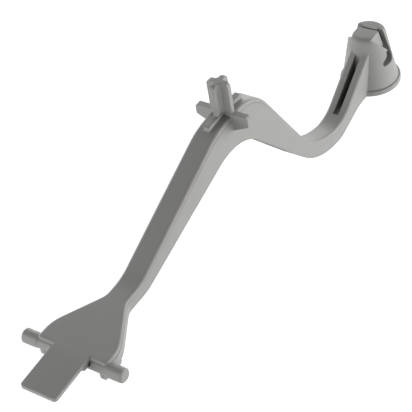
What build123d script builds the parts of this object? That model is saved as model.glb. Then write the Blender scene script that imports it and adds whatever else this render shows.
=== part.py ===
"""Float arm of a cistern fill valve: one grey moulded lever with pivot pins, a peg and a bell end.

Frame: the origin is on the axis of the two pivot pins, midway between them. +X runs along the
arm towards the bell, +Y points to one pin and +Z runs up along the peg. All sizes are in mm.
"""
import os
from math import atan, degrees, hypot
from build123d import *

# Pivot end: two round pins on one axis, a spade-shaped plate and a paddle that works the valve.
PIN_D = 5.0
PIN_SPAN = 40.2
PIN_LEAD = 0.5
BAR_D = 4.6
BAR_TAPER = 1.0
PLATE_TOP = 3.1
PLATE_BOTTOM = -1.9
PLATE_HALF = 14.0
PLATE_FRONT = -0.8
PLATE_SHOULDER = 6.8
SHOULDER_ROUND = 14.0
PLATE_NECK = 24.0
NECK_RUN = 6.0
PADDLE_WIDTH = 14.3
PADDLE_TIP = -18.9
PADDLE_TIP_TOP = 2.0
PADDLE_THICK = 1.35
PADDLE_STEP = -5.4
PADDLE_CREASE = -2.3
PADDLE_CORNER = 1.3
PADDLE_ROUND = 0.45
PADDLE_ROOT_THICK = 3.1
NOTCH_WIDTH = 0.9
NOTCH_REACH = 1.0
NOTCH_FLOOR = 0.6
CHEEK_BACK = 6.6
CHEEK_LOW = -3.2
CHEEK_ROUND = 1.2
LUG_X = -0.7
LUG_INSET = 1.2
LUG_THICK = 1.6
LUG_DROP = 4.2
LUG_WIDTH = 2.6

# Arm: a strip of even width that climbs to the crest, drops to the valley and lifts to the bell.
# The top and low lines are given by their corners, as X, Z and the radius of the bend there.
ARM_WIDTH = 8.6
EDGE_ROUND = 1.1
CREST_Z = 27.3
BELL_X = 196.9
RIM_Z = -30.0
TOP_LINE = [
    (32.4, PLATE_TOP, 19.0),
    (85.0, CREST_Z, 25.0),
    (110.3, CREST_Z, 20.0),
    (143.5, -24.7, 33.0),
    (165.1, -29.3, 16.5),
]
LIFT_SLOPE = 0.72
LOW_LINE = [
    (179.0, RIM_Z, 20.0),
    (163.5, -35.0, 14.0),
    (144.8, -33.3, 38.0),
    (97.7, 18.0, 23.0),
    (35.0, PLATE_BOTTOM, 20.0),
]
SKIN = 2.2
WALL = 2.0
RIB_THICK = 1.4
RIB_SPACING = 19.0
RIBS_BEFORE_PEG = 3
CHANNEL_END = 158.0
GROOVE_WIDTH = 2.5
GROOVE_START = 167.0
GROOVE_FLOOR = 2.4
BLEND_R = 6.0

# Peg: four ribs in a cross on the crest, with four feet round its base.
PEG_X = 95.7
PEG_R = 4.4
PEG_RIB = 1.8
PEG_WEB_R = 1.0
PEG_TOP = 41.0
PEG_LEAD = 1.6
FOOT_REACH = 10.6
FOOT_WIDTH = 2.2
FOOT_TOP = 28.6
FOOT_END = 4.0
FOOT_ROOT = 7.2
FOOT_CHAMFER = 0.7
FOOT_ROUND = 1.1

# Bell: a hollow cone with a flared, flanged foot. A slot parts its head into a clip and a back wall.
# The X sizes of the clip, the wall and the slot are taken from the bell's axis, at the head's top.
BELL_TOP = -6.0
BELL_TOP_R = 7.25
BELL_FOOT_R = 11.7
BELL_WALL = 1.8
FLARE_H = 5.0
FLARE_BEND = 7.0
FLANGE_R = 12.4
FLANGE_H = 2.1
FLANGE_LEDGE = 0.9
CLIP_ROUND = 2.8
CLIP_FRONT = -7.5
CLIP_HALF = 4.25
CLIP_CORNER = 4.2
CLIP_FLARE = 0.2
LEDGE_X = -4.0
LEDGE_Z = -8.3
LEDGE_SLOPE = 1.23
CLIP_BACK = 1.0
CLIP_LEAN = 0.135
NOSE_Z = -13.2
WALL_ROUND = 1.4
WALL_HALF = 5.3
WALL_FLARE = 0.26
SLOT_BACK = 2.7
SLOT_LEAN = 0.07
THROAT = 0.7
TONGUE_HALF = 3.1
SEAT_FRONT = -1.1
SEAT_TOP = -13.8
SEAT_KNEE = -15.6
SEAT_TIP = -3.9
SEAT_BOTTOM = -19.2
SEAT_GAP = 1.9

PIN_R = PIN_D / 2
HALF = ARM_WIDTH / 2
CHANNEL = ARM_WIDTH - 2 * WALL
TAPER = (BELL_FOOT_R - BELL_TOP_R) / (BELL_TOP - RIM_Z)
ABOVE = BELL_TOP + 1.0


def rounded(corners):
    """Face inside a closed outline given as (a, b, corner radius)."""
    points = [(a, b) for a, b, r in corners]
    return make_face(FilletPolyline(*points, radius=[r for a, b, r in corners], close=True))


def side_slab(corners, width):
    """Slab of the given width about the middle plane, with its outline drawn in X and Z."""
    return extrude(Plane.XZ * rounded(corners), amount=width / 2, both=True)


def mirrored(half):
    """Closed outline from its +Y half."""
    return half + [(x, -y, r) for x, y, r in reversed(half)]


def lowered(line, gap):
    """Inner corners of a line that runs parallel below another one at the given gap."""
    out = []
    for before, here, after in zip(line, line[1:], line[2:]):
        ux, uz = here[0] - before[0], here[1] - before[1]
        vx, vz = after[0] - here[0], after[1] - here[1]
        lu, lv = hypot(ux, uz), hypot(vx, vz)
        nx, nz = uz / lu + vz / lv, -ux / lu - vx / lv
        scale = 2 * gap / (nx * nx + nz * nz)
        dips = ux * vz - uz * vx > 0
        bend = here[2] + gap if dips else here[2] - gap
        out.append((here[0] + nx * scale, here[1] + nz * scale, bend))
    return out


def bell_r(z):
    """Outer radius of the bell's cone at a height."""
    return BELL_TOP_R + TAPER * (BELL_TOP - z)


def clip_back(z):
    """X of the clip's back face at a height."""
    return BELL_X + CLIP_BACK + CLIP_LEAN * (BELL_TOP - z)


def slot_back(z):
    """X of the slot's back face at a height."""
    return BELL_X + SLOT_BACK + SLOT_LEAN * (BELL_TOP - z)


def drafted(half, flare):
    """Block round the bell's axis that grows on its way down, from the +Y half of its plan at the top."""
    plan = Pos(BELL_X, 0, ABOVE) * rounded(mirrored(half))
    return extrude(plan, ABOVE - RIM_Z, dir=(0, 0, -1), taper=-degrees(atan(flare)))


# The arm's rising stretch ends in a blend that runs up just inside the front of the bell.
valley_x, valley_z, valley_bend = TOP_LINE[-1]
inset = BELL_TOP_R - (BELL_TOP_R**2 - HALF**2) ** 0.5
foot_x = BELL_X - bell_r(0) + inset
meet_z = (valley_z + LIFT_SLOPE * (foot_x - valley_x)) / (1 - LIFT_SLOPE * TAPER)
blend_top = BELL_TOP - CLIP_ROUND
arm_end = BELL_X - BELL_TOP_R / 2
arm_outline = [(PLATE_SHOULDER, PLATE_TOP, 0)] + TOP_LINE
arm_outline += [(foot_x + TAPER * meet_z, meet_z, BLEND_R)]
arm_outline += [(foot_x + TAPER * blend_top, blend_top, 0), (arm_end, blend_top, 0)]
arm_outline += [(arm_end, RIM_Z, 0)] + LOW_LINE + [(PLATE_SHOULDER, PLATE_BOTTOM, 0)]
arm = side_slab(arm_outline, ARM_WIDTH)

# The spade plate shares the arm's top face, so the two are joined before the edges are rounded.
neck_end = PLATE_NECK + NECK_RUN
plate_half = [
    (PLATE_FRONT, PLATE_HALF, EDGE_ROUND),
    (PLATE_SHOULDER, PLATE_HALF, SHOULDER_ROUND),
    (PLATE_NECK, HALF, NECK_RUN),
    (neck_end, HALF, 0),
]
plan = rounded(mirrored(plate_half))
plate = Pos(0, 0, PLATE_BOTTOM) * extrude(plan, PLATE_TOP - PLATE_BOTTOM)
body = (arm + plate).clean()
upper = [f for f in body.faces() if f.normal_at().Z > 0.2]
edges = [e for f in upper for e in f.edges()]
rims = [e for e in edges if sum(1 for o in edges if o.is_same(e)) == 1]
rims = [e for e in rims if e.center().X < foot_x - BLEND_R]
body = fillet(rims, EDGE_ROUND)

# Hollow of the plate and the arm, open below, with thin cross ribs between the walls of the arm.
pocket_half = [
    (PIN_R + WALL, PLATE_HALF - WALL, 0.8),
    (PLATE_SHOULDER - WALL / 4, PLATE_HALF - WALL, WALL),
    (PLATE_NECK - WALL / 4, CHANNEL / 2, NECK_RUN + WALL),
    (neck_end, CHANNEL / 2, 0),
]
pocket = extrude(rounded(mirrored(pocket_half)), PLATE_TOP - SKIN - CHEEK_LOW)
body -= Pos(0, 0, CHEEK_LOW) * pocket
roof = lowered([(PLATE_SHOULDER, PLATE_TOP, 0)] + TOP_LINE, SKIN)
drop_x, drop_z, drop_bend = TOP_LINE[-2]
valley_fall = (valley_z - drop_z) / (valley_x - drop_x)
roof_end = roof[-1][1] + valley_fall * (CHANNEL_END - roof[-1][0])
hollow = [(PLATE_NECK, PLATE_TOP - SKIN, 0)] + roof + [(CHANNEL_END, roof_end, 0)]
hollow += [(CHANNEL_END, 2 * RIM_Z, 0), (PLATE_NECK, 2 * RIM_Z, 0)]
channel = side_slab(hollow, CHANNEL)
rib_x = PEG_X - RIBS_BEFORE_PEG * RIB_SPACING
while rib_x < CHANNEL_END - RIB_SPACING / 2:
    channel -= Pos(rib_x, 0, 0) * Box(RIB_THICK, ARM_WIDTH, 4 * PEG_TOP)
    rib_x += RIB_SPACING
body -= channel

# Open groove along the top of the rising stretch.
groove_floor = RIM_Z + GROOVE_FLOOR
groove = [
    (GROOVE_START, groove_floor, GROOVE_FLOOR / 2),
    (GROOVE_START, PEG_TOP, 0),
    (arm_end, PEG_TOP, 0),
    (arm_end, groove_floor, 0),
]
body -= side_slab(groove, GROOVE_WIDTH)

# Pivot: a round bar under the front of the plate, with a lug below it, that widens into a pin at each end.
# A short cheek under each side of the plate stiffens the root of the pin.
body += Rot(90, 0, 0) * Cylinder(BAR_D / 2, 2 * PLATE_HALF)
cheek_outline = [
    (0, PLATE_BOTTOM, 0),
    (0, CHEEK_LOW, 0),
    (CHEEK_BACK, CHEEK_LOW, CHEEK_ROUND),
    (CHEEK_BACK, PLATE_BOTTOM, 0),
]
cheeks = Pos(0, 0, CHEEK_LOW) * extrude(plan, PLATE_BOTTOM - CHEEK_LOW)
cheeks &= side_slab(cheek_outline, 2 * PLATE_HALF)
body += cheeks - Box(4 * CHEEK_BACK, 2 * (PLATE_HALF - WALL), -4 * CHEEK_LOW)
pin = Cylinder(PIN_R, PIN_SPAN / 2 - PLATE_HALF, align=(Align.CENTER, Align.CENTER, Align.MIN))
pin = chamfer(pin.edges().group_by(Axis.Z)[-1], PIN_LEAD)
pin += Cone(BAR_D / 2, PIN_R, BAR_TAPER, align=(Align.CENTER, Align.CENTER, Align.MAX))
lug_outline = [
    (LUG_X + LUG_WIDTH / 2, 0, 0),
    (LUG_X + LUG_WIDTH / 2, -LUG_DROP, 0.45 * LUG_WIDTH),
    (LUG_X - LUG_WIDTH / 2, -LUG_DROP, 0.45 * LUG_WIDTH),
    (LUG_X - LUG_WIDTH / 2, 0, 0),
]
lug = side_slab(lug_outline, LUG_THICK)
for side in (-1, 1):
    body += Pos(0, side * PLATE_HALF, 0) * Rot(-90 * side, 0, 0) * pin
    body += Pos(0, side * (PLATE_HALF - LUG_INSET - LUG_THICK / 2), 0) * lug

# Paddle: a thin tongue that slopes down from the plate, thicker where it leaves the pin bar.
paddle_slope = (PLATE_TOP - PADDLE_TIP_TOP) / (PADDLE_CREASE - PADDLE_TIP)
step_z = PADDLE_TIP_TOP + paddle_slope * (PADDLE_STEP - PADDLE_TIP) - PADDLE_THICK
root_z = PLATE_TOP - PADDLE_ROOT_THICK
blade = [
    (PIN_R, PLATE_TOP, 0),
    (PADDLE_CREASE, PLATE_TOP, 0),
    (PADDLE_TIP, PADDLE_TIP_TOP, 0),
    (PADDLE_TIP, PADDLE_TIP_TOP - PADDLE_THICK, 0),
    (PADDLE_STEP, step_z, 0),
    (PADDLE_STEP + step_z - root_z, root_z, 0),
    (PIN_R, root_z, 0),
]
paddle = side_slab(blade, PADDLE_WIDTH)
tip_corners = paddle.edges().filter_by(Axis.Z).group_by(Axis.X)[0]
paddle = fillet(tip_corners, PADDLE_CORNER)
slope_face = paddle.faces().filter_by(lambda f: f.normal_at().Z > 0.9 and f.center().X < PADDLE_CREASE)
paddle_rim = [e for e in slope_face.edges() if e.center().X < PADDLE_CREASE - PADDLE_CORNER]
body += fillet(paddle_rim, PADDLE_ROUND)
notch = Box(2 * NOTCH_REACH, NOTCH_WIDTH, 2 * (PLATE_TOP - NOTCH_FLOOR))
for side in (-1, 1):
    body -= Pos(-PIN_R + NOTCH_REACH / 2, side * (PADDLE_WIDTH + NOTCH_WIDTH) / 2, PLATE_TOP) * notch

# Peg: the cross runs down into the arm's skin and its rib ends are rounded at the top as a lead-in.
cross = Rectangle(2 * PEG_R, PEG_RIB) + Rectangle(PEG_RIB, 2 * PEG_R)
crooks = [v for v in cross.vertices() if hypot(v.X, v.Y) < PEG_R / 2]
peg_root = CREST_Z - SKIN / 2
peg = extrude(fillet(crooks, PEG_WEB_R), PEG_TOP - peg_root)
lead = Cylinder(PEG_R, PEG_TOP - peg_root, align=(Align.CENTER, Align.CENTER, Align.MIN))
lead = fillet(lead.edges().group_by(Axis.Z)[-1], PEG_LEAD)
body += Pos(PEG_X, 0, peg_root) * (peg & lead)

# Feet: one bar along the crest and one across it, whose ends overhang as gussets.
bar = [
    (PEG_X - FOOT_REACH, peg_root, 0),
    (PEG_X - FOOT_REACH, FOOT_TOP, FOOT_ROUND),
    (PEG_X + FOOT_REACH, FOOT_TOP, FOOT_ROUND),
    (PEG_X + FOOT_REACH, peg_root, 0),
]
body += side_slab(bar, FOOT_WIDTH)
wing_half = [
    (FOOT_TOP, FOOT_REACH - FOOT_CHAMFER, 0),
    (FOOT_TOP - FOOT_CHAMFER, FOOT_REACH, 0),
    (FOOT_TOP - FOOT_END, FOOT_REACH, 0),
    (FOOT_TOP - FOOT_ROOT, HALF, 0),
]
wing = rounded([(y, z, r) for z, y, r in mirrored(wing_half)])
body += Pos(PEG_X, 0, 0) * extrude(Plane.YZ * wing, amount=FOOT_WIDTH / 2, both=True)

# Bell: turned outline. The clip in front of the slot has a rounder top edge than the back wall.
flange_top = RIM_Z + FLANGE_H
flare_top = RIM_Z + FLARE_H
far = 2 * FLANGE_R
split_x = BELL_X + (CLIP_BACK + SLOT_BACK) / 2
bell = Part()
for head_round, side in ((CLIP_ROUND, -1), (WALL_ROUND, 1)):
    outline = [
        (0, RIM_Z, 0),
        (FLANGE_R, RIM_Z, 0),
        (FLANGE_R, flange_top, 0.5),
        (FLANGE_R - FLANGE_LEDGE, flange_top, 0),
        (bell_r(flare_top), flare_top, FLARE_BEND),
        (BELL_TOP_R, BELL_TOP, head_round),
        (0, BELL_TOP, 0),
    ]
    turned = Pos(BELL_X, 0, 0) * revolve(Plane.XZ * rounded(outline), axis=Axis.Z)
    keep = Pos(split_x + side * far, 0, RIM_Z / 2) * Box(2 * far, 2 * far, -2 * RIM_Z)
    bell += turned & keep

# Above a sloping ledge the clip's sides step in to a round-cornered block.
ledge_low = LEDGE_Z - LEDGE_SLOPE * (split_x - BELL_X - LEDGE_X)
ledge_x = split_x - (ABOVE - ledge_low) / LEDGE_SLOPE
step = side_slab([(ledge_x, ABOVE, 0), (split_x, ledge_low, 0), (split_x, ABOVE, 0)], far)
bell -= step - drafted([(CLIP_FRONT, CLIP_HALF, CLIP_CORNER), (far, CLIP_HALF, 0)], CLIP_FLARE)

# The back wall's ends are flat.
ends = Pos(split_x + far / 2, 0, (ABOVE + SEAT_BOTTOM) / 2) * Box(far, far, ABOVE - SEAT_BOTTOM)
bell -= ends - drafted([(-far, WALL_HALF, 0), (far, WALL_HALF, 0)], WALL_FLARE)
body += bell

# Slot right across the head: it runs down behind the clip's nose and hooks forward into a seat.
slot = [
    (slot_back(ABOVE), ABOVE, 0),
    (slot_back(SEAT_BOTTOM), SEAT_BOTTOM, SEAT_GAP),
    (BELL_X + SEAT_TIP, SEAT_BOTTOM, 0.45 * SEAT_GAP),
    (BELL_X + SEAT_TIP, SEAT_BOTTOM + SEAT_GAP, 0.45 * SEAT_GAP),
    (BELL_X + SEAT_FRONT, SEAT_KNEE, 1.5),
    (BELL_X + SEAT_FRONT, SEAT_TOP, 0.4),
    (clip_back(NOSE_Z), NOSE_Z, 0.3),
    (clip_back(ABOVE), ABOVE, 0),
]
body -= side_slab(slot, far)

# A tongue on the back wall narrows the slot to a thin throat between the clip's two edges.
tongue = [
    (clip_back(BELL_TOP) + THROAT, BELL_TOP, 0.3),
    (slot_back(BELL_TOP) + THROAT, BELL_TOP, 0),
    (slot_back(NOSE_Z) + THROAT, NOSE_Z, 0),
    (clip_back(NOSE_Z) + THROAT, NOSE_Z, 0),
]
body += side_slab(tongue, 2 * TONGUE_HALF)

# Hollow of the bell, open at the rim.
ceiling = SEAT_BOTTOM - BELL_WALL
cavity = [
    (0, RIM_Z - 1, 0),
    (bell_r(RIM_Z - 1) - BELL_WALL, RIM_Z - 1, 0),
    (bell_r(ceiling) - BELL_WALL, ceiling, 0),
    (0, ceiling, 0),
]
body -= Pos(BELL_X, 0, 0) * revolve(Plane.XZ * rounded(cavity), axis=Axis.Z)

float_arm = body.clean()
os.makedirs("parts", exist_ok=True)
export_step(float_arm, "parts/float_arm.step")
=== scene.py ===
"""Float arm of a cistern fill valve, one grey plastic moulding, on a plain pale floor."""
import math
import bpy
from mathutils import Matrix, Vector


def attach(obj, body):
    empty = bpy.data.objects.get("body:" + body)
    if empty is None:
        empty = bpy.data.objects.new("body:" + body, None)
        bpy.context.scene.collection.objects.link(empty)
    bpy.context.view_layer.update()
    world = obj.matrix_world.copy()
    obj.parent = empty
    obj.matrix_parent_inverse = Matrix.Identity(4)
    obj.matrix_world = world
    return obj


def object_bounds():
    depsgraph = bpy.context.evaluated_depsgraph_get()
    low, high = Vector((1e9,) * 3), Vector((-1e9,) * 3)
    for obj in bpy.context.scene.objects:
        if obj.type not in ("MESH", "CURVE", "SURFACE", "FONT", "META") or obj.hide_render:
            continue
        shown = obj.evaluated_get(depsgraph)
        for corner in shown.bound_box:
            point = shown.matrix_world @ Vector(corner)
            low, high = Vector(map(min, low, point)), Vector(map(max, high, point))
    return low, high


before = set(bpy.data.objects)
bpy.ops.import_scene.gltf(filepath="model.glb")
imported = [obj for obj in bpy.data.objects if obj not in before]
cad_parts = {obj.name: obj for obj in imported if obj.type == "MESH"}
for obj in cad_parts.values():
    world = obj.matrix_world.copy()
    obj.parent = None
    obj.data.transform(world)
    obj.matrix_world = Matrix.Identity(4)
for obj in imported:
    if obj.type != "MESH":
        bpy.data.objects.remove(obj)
cad_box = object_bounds()

# The arm: one injection moulding in mid-grey plastic, from the pivot pins to the bell.
# It leaves the mould with a fine satin skin and edges that are only just broken.
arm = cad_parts["float_arm"]
GREY = (0.325, 0.322, 0.312, 1.0)
GREY_DEEP = (0.300, 0.297, 0.288, 1.0)
# Painted shade: the colour that narrow recesses and creases darken towards, standing in for the shade that
# falls in them.
RECESS_PAINTED_SHADE = (0.058, 0.057, 0.056, 1.0)
RECESS_REACH = 0.005
RECESS_OPENNESS = (0.10, 0.42)
RECESS_SAMPLES = 12
EDGE_BREAK = 0.00035
EDGE_SAMPLES = 8
SHEEN = 0.42
ROUGHNESS = (0.40, 0.54)
CLOUDS = (55.0, 3.0)
PATCHES = (260.0, 4.0)
GRAIN = (2600.0, 2.0)
GRAIN_STRENGTH = 0.10
GRAIN_DEPTH = 0.0001


def mottle(nodes, links, fineness):
    """Socket of a noise laid out in the piece's own space: fineness is its scale per metre and its detail."""
    place = nodes.new("ShaderNodeTexCoord")
    noise = nodes.new("ShaderNodeTexNoise")
    noise.inputs["Scale"].default_value = fineness[0]
    noise.inputs["Detail"].default_value = fineness[1]
    links.new(place.outputs["Object"], noise.inputs["Vector"])
    return noise.outputs["Fac"]


def grey_plastic(name, deep, light):
    """Moulded plastic: faint clouds in the tone, painted shade in narrow recesses, a fine skin and a satin
    gloss.
    """
    material = bpy.data.materials.new(name)
    material.use_nodes = True
    nodes = material.node_tree.nodes
    links = material.node_tree.links
    shader = nodes["Principled BSDF"]
    shader.inputs["Specular IOR Level"].default_value = SHEEN

    tone = nodes.new("ShaderNodeMix")
    tone.data_type = "RGBA"
    tone.inputs["A"].default_value = deep
    tone.inputs["B"].default_value = light
    links.new(mottle(nodes, links, CLOUDS), tone.inputs["Factor"])
    # Painted shade: the base colour darkens where nearby faces hem the surface in, as shade would fall there.
    openness = nodes.new("ShaderNodeAmbientOcclusion")
    openness.samples = RECESS_SAMPLES
    openness.inputs["Distance"].default_value = RECESS_REACH
    depth = nodes.new("ShaderNodeMapRange")
    depth.inputs["From Min"].default_value = RECESS_OPENNESS[0]
    depth.inputs["From Max"].default_value = RECESS_OPENNESS[1]
    links.new(openness.outputs["AO"], depth.inputs["Value"])
    recess_painted_shade = nodes.new("ShaderNodeMix")
    recess_painted_shade.data_type = "RGBA"
    recess_painted_shade.inputs["A"].default_value = RECESS_PAINTED_SHADE
    links.new(depth.outputs["Result"], recess_painted_shade.inputs["Factor"])
    links.new(tone.outputs["Result"], recess_painted_shade.inputs["B"])
    links.new(recess_painted_shade.outputs["Result"], shader.inputs["Base Color"])

    gloss = nodes.new("ShaderNodeMapRange")
    gloss.inputs["To Min"].default_value = ROUGHNESS[0]
    gloss.inputs["To Max"].default_value = ROUGHNESS[1]
    links.new(mottle(nodes, links, PATCHES), gloss.inputs["Value"])
    links.new(gloss.outputs["Result"], shader.inputs["Roughness"])

    relief = nodes.new("ShaderNodeBump")
    relief.inputs["Strength"].default_value = GRAIN_STRENGTH
    relief.inputs["Distance"].default_value = GRAIN_DEPTH
    links.new(mottle(nodes, links, GRAIN), relief.inputs["Height"])
    soft_edge = nodes.new("ShaderNodeBevel")
    soft_edge.samples = EDGE_SAMPLES
    soft_edge.inputs["Radius"].default_value = EDGE_BREAK
    links.new(soft_edge.outputs["Normal"], relief.inputs["Normal"])
    links.new(relief.outputs["Normal"], shader.inputs["Normal"])
    return material


arm.data.materials.clear()
arm.data.materials.append(grey_plastic("grey_plastic_skin", GREY_DEEP, GREY))

# Parting lines: the halves of the mould leave a hair-fine bead where they meet, along each side and each pin.
# The bead on the sides is full at the plate and the crest, and almost gone along the climb between them.
BEAD_R = 0.00013
# Painted shade: the bead's grey is darker than the arm's, standing in for the fine shade line along the bead;
# the bead itself is real moulded shape.
BEAD_PAINTED_SHADE_GREY = (0.245, 0.243, 0.236, 1.0)
BEAD_PAINTED_SHADE_GREY_DEEP = (0.225, 0.223, 0.216, 1.0)
BEAD_FACETS = 1
BEND_STEPS = 12
PLATE_SIDE = 0.0140
PLATE_SEAM = 0.00165
ARM_SIDE = 0.0043
CREST_SEAM = 0.02585
FALL_SEAM = 0.01570
SIDE_LINE = [
    (0.0000, PLATE_SIDE, PLATE_SEAM, 0.0, 1.0),
    (0.0068, PLATE_SIDE, PLATE_SEAM, 0.0140, 1.0),
    (0.0240, ARM_SIDE, PLATE_SEAM, 0.0060, 0.8),
    (0.0327, ARM_SIDE, PLATE_SEAM, 0.0205, 0.2),
    (0.0853, ARM_SIDE, CREST_SEAM, 0.0236, 1.0),
    (0.1095, ARM_SIDE, CREST_SEAM, 0.0186, 0.8),
    (0.1160, ARM_SIDE, FALL_SEAM, 0.0, 0.2),
]
PIN_FRONT = -0.00235
PIN_SEAM = -0.00086
PIN_LINE = [(PIN_FRONT, 0.0143, PIN_SEAM, 0.0, 1.0), (PIN_FRONT, 0.0194, PIN_SEAM, 0.0, 1.0)]
# The bead's skin is the arm's plastic in the darker painted-shade grey.
bead_painted_shade_skin = grey_plastic("parting_line_painted_shade", BEAD_PAINTED_SHADE_GREY_DEEP, BEAD_PAINTED_SHADE_GREY)


def rounded_path(corners):
    """Points and fullness of a line through corners given as X, Y, Z, bend radius and fullness."""
    spots = [Vector(c[:3]) for c in corners]
    points = [(spots[0], corners[0][4])]
    for before, here, after, corner in zip(spots, spots[1:], spots[2:], corners[1:]):
        back = (before - here).normalized()
        ahead = (after - here).normalized()
        half = back.angle(ahead) / 2
        middle = here + (back + ahead).normalized() * corner[3] / math.sin(half)
        start = here + back * corner[3] / math.tan(half) - middle
        end = here + ahead * corner[3] / math.tan(half) - middle
        sweep = math.pi - 2 * half
        for step in range(BEND_STEPS + 1):
            part = sweep * step / BEND_STEPS
            reach = (start * math.sin(sweep - part) + end * math.sin(part)) / math.sin(sweep)
            points.append((middle + reach, corner[4]))
    return points + [(spots[-1], corners[-1][4])]


def bead(name, corners, side):
    """Fine round bead along a line, on the +Y side or mirrored to the -Y side."""
    path = bpy.data.curves.new(name, "CURVE")
    path.dimensions = "3D"
    path.bevel_depth = BEAD_R
    path.bevel_resolution = BEAD_FACETS
    path.use_fill_caps = True
    points = rounded_path(corners)
    line = path.splines.new("POLY")
    line.points.add(len(points) - 1)
    for spot, (point, fullness) in zip(line.points, points):
        spot.co = (point.x, side * point.y, point.z, 1.0)
        spot.radius = fullness
    piece = bpy.data.objects.new(name, path)
    bpy.context.scene.collection.objects.link(piece)
    path.materials.append(bead_painted_shade_skin)
    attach(piece, "root")


for side_name, side in (("left", 1), ("right", -1)):
    bead("parting_line_" + side_name, SIDE_LINE, side)
    bead("pin_line_" + side_name, PIN_LINE, side)

# The floor: a plain pale sheet a little below the lowest point of the arm.
# It shows as white to the camera and still takes the arm's soft shadow.
FLOOR_MIDDLE = 0.1
FLOOR_HALF = 3.0
FLOOR_GAP = 0.03
FLOOR_WHITE = (0.80, 0.80, 0.80, 1.0)
FLOOR_LIFT = 0.62
FAR_FLOOR_LIFT = 1.0
LAMP_POOL = 0.35
POOL_EDGE = 1.6


def seen_directly(nodes, links):
    """Socket that is 1 for rays from the camera, a gloss or a clear piece, and 0 for the rest."""
    path = nodes.new("ShaderNodeLightPath")
    seen = nodes.new("ShaderNodeMath")
    seen.operation = "MAXIMUM"
    links.new(path.outputs["Is Camera Ray"], seen.inputs[0])
    links.new(path.outputs["Is Glossy Ray"], seen.inputs[1])
    any_seen = nodes.new("ShaderNodeMath")
    any_seen.operation = "MAXIMUM"
    links.new(seen.outputs[0], any_seen.inputs[0])
    links.new(path.outputs["Is Transmission Ray"], any_seen.inputs[1])
    return any_seen.outputs[0]


def pale_floor():
    """Matt white sheet that looks white to the camera and in reflections, near the lamps and beyond."""
    material = bpy.data.materials.new("pale_floor")
    material.use_nodes = True
    nodes = material.node_tree.nodes
    links = material.node_tree.links
    nodes.clear()
    out = nodes.new("ShaderNodeOutputMaterial")
    matt = nodes.new("ShaderNodeBsdfDiffuse")
    matt.inputs["Color"].default_value = FLOOR_WHITE
    glow = nodes.new("ShaderNodeEmission")
    strength = nodes.new("ShaderNodeMath")
    strength.operation = "MULTIPLY"
    place = nodes.new("ShaderNodeTexCoord")
    far = nodes.new("ShaderNodeVectorMath")
    far.operation = "LENGTH"
    links.new(place.outputs["Object"], far.inputs[0])
    lift = nodes.new("ShaderNodeMapRange")
    lift.interpolation_type = "SMOOTHSTEP"
    lift.inputs["From Min"].default_value = LAMP_POOL
    lift.inputs["From Max"].default_value = POOL_EDGE
    lift.inputs["To Min"].default_value = FLOOR_LIFT
    lift.inputs["To Max"].default_value = FAR_FLOOR_LIFT
    links.new(far.outputs["Value"], lift.inputs["Value"])
    links.new(seen_directly(nodes, links), strength.inputs[0])
    links.new(lift.outputs["Result"], strength.inputs[1])
    links.new(strength.outputs[0], glow.inputs["Strength"])
    both = nodes.new("ShaderNodeAddShader")
    links.new(matt.outputs[0], both.inputs[0])
    links.new(glow.outputs[0], both.inputs[1])
    links.new(both.outputs[0], out.inputs["Surface"])
    return material


bpy.ops.mesh.primitive_plane_add(size=2 * FLOOR_HALF, location=(FLOOR_MIDDLE, 0.0, cad_box[0].z - FLOOR_GAP))
floor = bpy.context.object
floor.name = "floor"
floor.data.materials.append(pale_floor())

# The light: soft square lamps in a ring round the arm, most of them low down, and a long strip beside it.
# No lamp stands straight behind the camera. The room is plain white to the camera and in gloss,
# and gives no other light.
MIDDLE = Vector((0.095, 0.0, 0.0))
LOW = 6.0
HIGH = 38.0
RING_R = 0.9
LAMP_SIDE = 0.7
RING_LAMPS = [
    ("right_back_lamp", 315, LOW, 8.5),
    ("left_back_lamp", 45, LOW, 5.7),
    ("left_lamp", 90, LOW, 2.6),
    ("left_front_lamp", 135, LOW, 4.9),
    ("front_lamp", 180, LOW, 3.3),
    ("high_lamp", 45, HIGH, 0.7),
]
STRIP_TURN = 270
STRIP_RISE = -1.5
STRIP_FAR = 0.75
STRIP_WIDE = 1.0
STRIP_TALL = 0.08
STRIP_WATTS = 3.2


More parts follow.
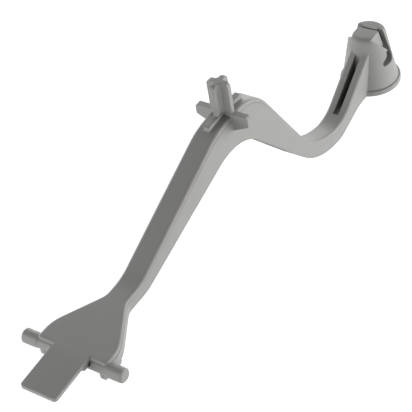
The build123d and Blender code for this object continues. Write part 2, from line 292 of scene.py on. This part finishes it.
def soft_lamp(name, azimuth, elevation, far, wide, tall, watts):
    """Area lamp round the arm, turned to its middle: azimuth from +X towards +Y, both in degrees."""
    lamp = bpy.data.lights.new(name, "AREA")
    lamp.shape = "RECTANGLE"
    lamp.size = wide
    lamp.size_y = tall
    lamp.energy = watts
    holder = bpy.data.objects.new(name, lamp)
    bpy.context.scene.collection.objects.link(holder)
    turn = Matrix.Rotation(math.radians(azimuth), 3, "Z") @ Matrix.Rotation(math.radians(-elevation), 3, "Y")
    holder.location = MIDDLE + turn @ Vector((far, 0.0, 0.0))
    holder.rotation_euler = (MIDDLE - holder.location).to_track_quat("-Z", "Y").to_euler()


for lamp_name, azimuth, elevation, watts in RING_LAMPS:
    soft_lamp(lamp_name, azimuth, elevation, RING_R, LAMP_SIDE, LAMP_SIDE, watts)
soft_lamp("side_strip", STRIP_TURN, STRIP_RISE, STRIP_FAR, STRIP_WIDE, STRIP_TALL, STRIP_WATTS)

world = bpy.data.worlds.new("white_room")
bpy.context.scene.world = world
world.use_nodes = True
room = world.node_tree.nodes["Background"]
room.inputs["Color"].default_value = (1.0, 1.0, 1.0, 1.0)
room_links = world.node_tree.links
room_links.new(seen_directly(world.node_tree.nodes, room_links), room.inputs["Strength"])

# The camera: above the pivot end and to its -Y side, looking down along the arm.
# It has a long lens and is turned a little about its own line of sight.
EYE = Vector((-0.20250, -0.23263, 0.32357))
AIM = Vector((0.07761, 0.0, -0.00123))
ROLL = math.radians(-10.444)
LENS = 122.07
SENSOR = 36.0
NEAR_CLIP = 0.01
camera_data = bpy.data.cameras.new("camera")
camera_data.sensor_width = SENSOR
camera_data.lens = LENS
camera_data.clip_start = NEAR_CLIP
camera = bpy.data.objects.new("camera", camera_data)
bpy.context.scene.collection.objects.link(camera)
turn = (AIM - EYE).to_track_quat("-Z", "Y").to_matrix() @ Matrix.Rotation(ROLL, 3, "Z")
camera.matrix_world = Matrix.Translation(EYE) @ turn.to_4x4()
bpy.context.scene.camera = camera
bpy.context.scene.view_settings.view_transform = "Standard"
